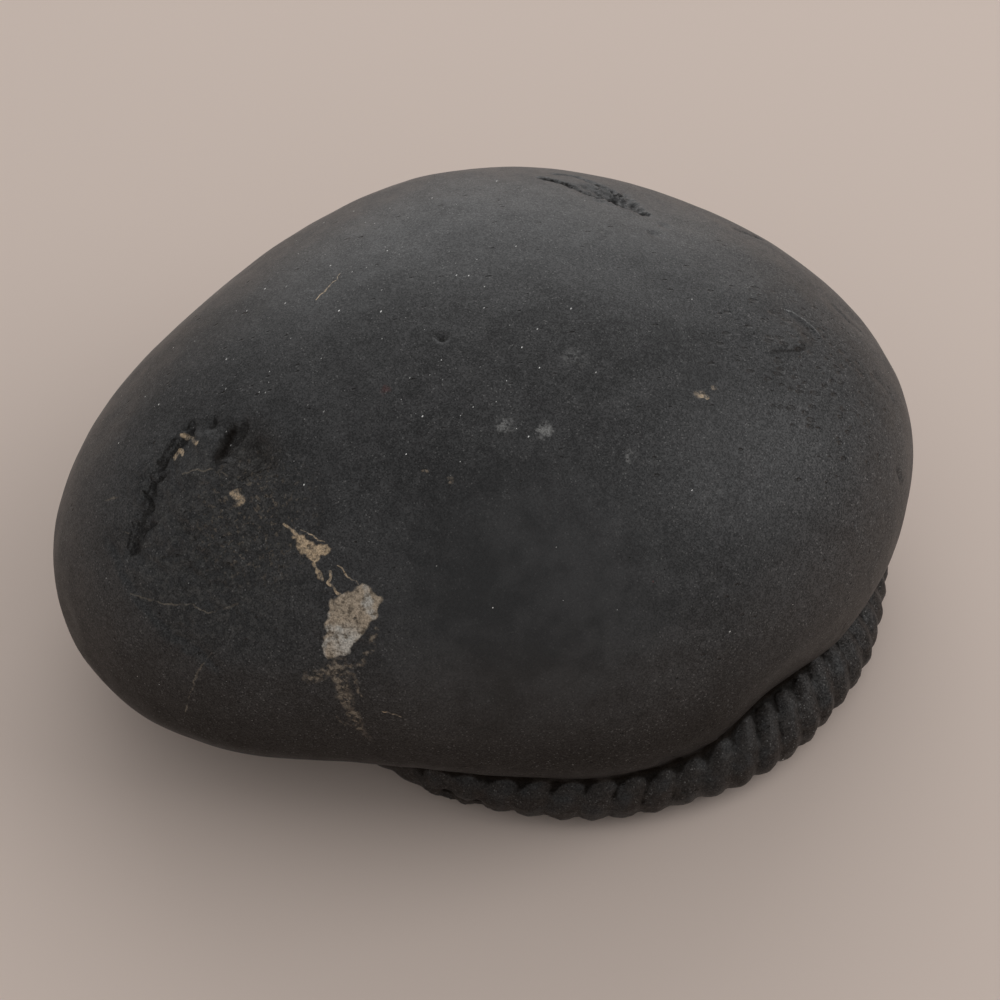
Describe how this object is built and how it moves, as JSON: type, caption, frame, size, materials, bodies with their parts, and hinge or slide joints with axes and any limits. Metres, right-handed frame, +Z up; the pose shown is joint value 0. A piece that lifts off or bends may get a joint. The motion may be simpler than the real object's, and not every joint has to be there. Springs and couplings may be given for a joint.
{
  "type": "ammonite nodule",
  "caption": "Egg-shaped, water-worn black stone nodule with the ribbed whorls of a coiled fossil shell in its underside; a loose stone for display or study.",
  "frame": {"origin": "middle of the stone's bounding footprint, on the plane it rests on", "axes": "+Z up, +X along the stone's longest extent towards its broad end, so that -Y is the side where the shell's rim shows under the lip"},
  "size_m": [0.112, 0.0894, 0.055],
  "materials": {
    "black_limestone": "water-worn matte charcoal limestone with small white specks, tan and grey calcite patches and pale hairline veins; brown along the lip"
  },
  "bodies": {
    "root": {"ammonite_nodule": "black_limestone"}
  },
  "joints": []
}
